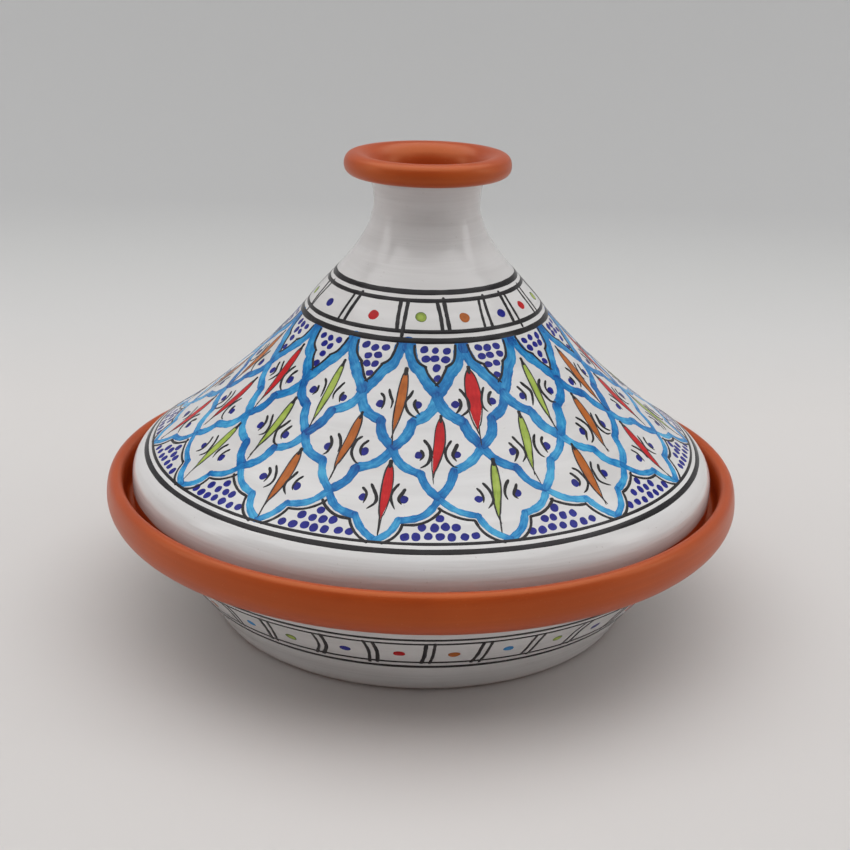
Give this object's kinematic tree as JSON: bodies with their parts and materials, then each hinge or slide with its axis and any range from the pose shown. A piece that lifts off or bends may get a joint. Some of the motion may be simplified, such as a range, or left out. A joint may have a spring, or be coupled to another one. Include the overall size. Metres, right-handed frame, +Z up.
{
  "type": "tagine pot",
  "caption": "Conical earthenware cooking pot: a shallow footed dish with a thick bare-clay rim, and a lid with a flared hollow knob that lifts off, white glazed with painted bands.",
  "frame": {"origin": "centre of the flat foot, on the surface the dish stands on", "axes": "+Z up along the turning axis of dish and lid; the part is turned, so X and Y are free, and -Y faces the viewer"},
  "size_m": [0.31, 0.31, 0.2249],
  "materials": {
    "clay": "bare fired terracotta, matt, with fine turning rings",
    "white_glaze": "glossy white glaze over brush-painted ornament",
    "inner_glaze": "glossy plain white glaze",
    "paint_black": "black brush line under clear glaze",
    "paint_turquoise": "turquoise brush stroke under clear glaze",
    "paint_cobalt": "cobalt blue dot under clear glaze",
    "paint_red": "red brush stroke under clear glaze",
    "paint_green": "leaf green brush stroke under clear glaze",
    "paint_ochre": "orange ochre brush stroke under clear glaze",
    "paint_sky": "light blue dot under clear glaze"
  },
  "bodies": {
    "dish": {"dish": "clay", "dish_outer_glaze": "white_glaze", "dish_inner_glaze": "inner_glaze"},
    "lid": {"lid": "clay", "lid_outer_glaze": "white_glaze", "lid_inner_glaze": "inner_glaze"}
  },
  "joints": [
    {"name": "lid_lift", "type": "slide", "parent": "dish", "child": "lid", "axis": [0, 0, 1], "range_m": [0, 0.06]}
  ]
}
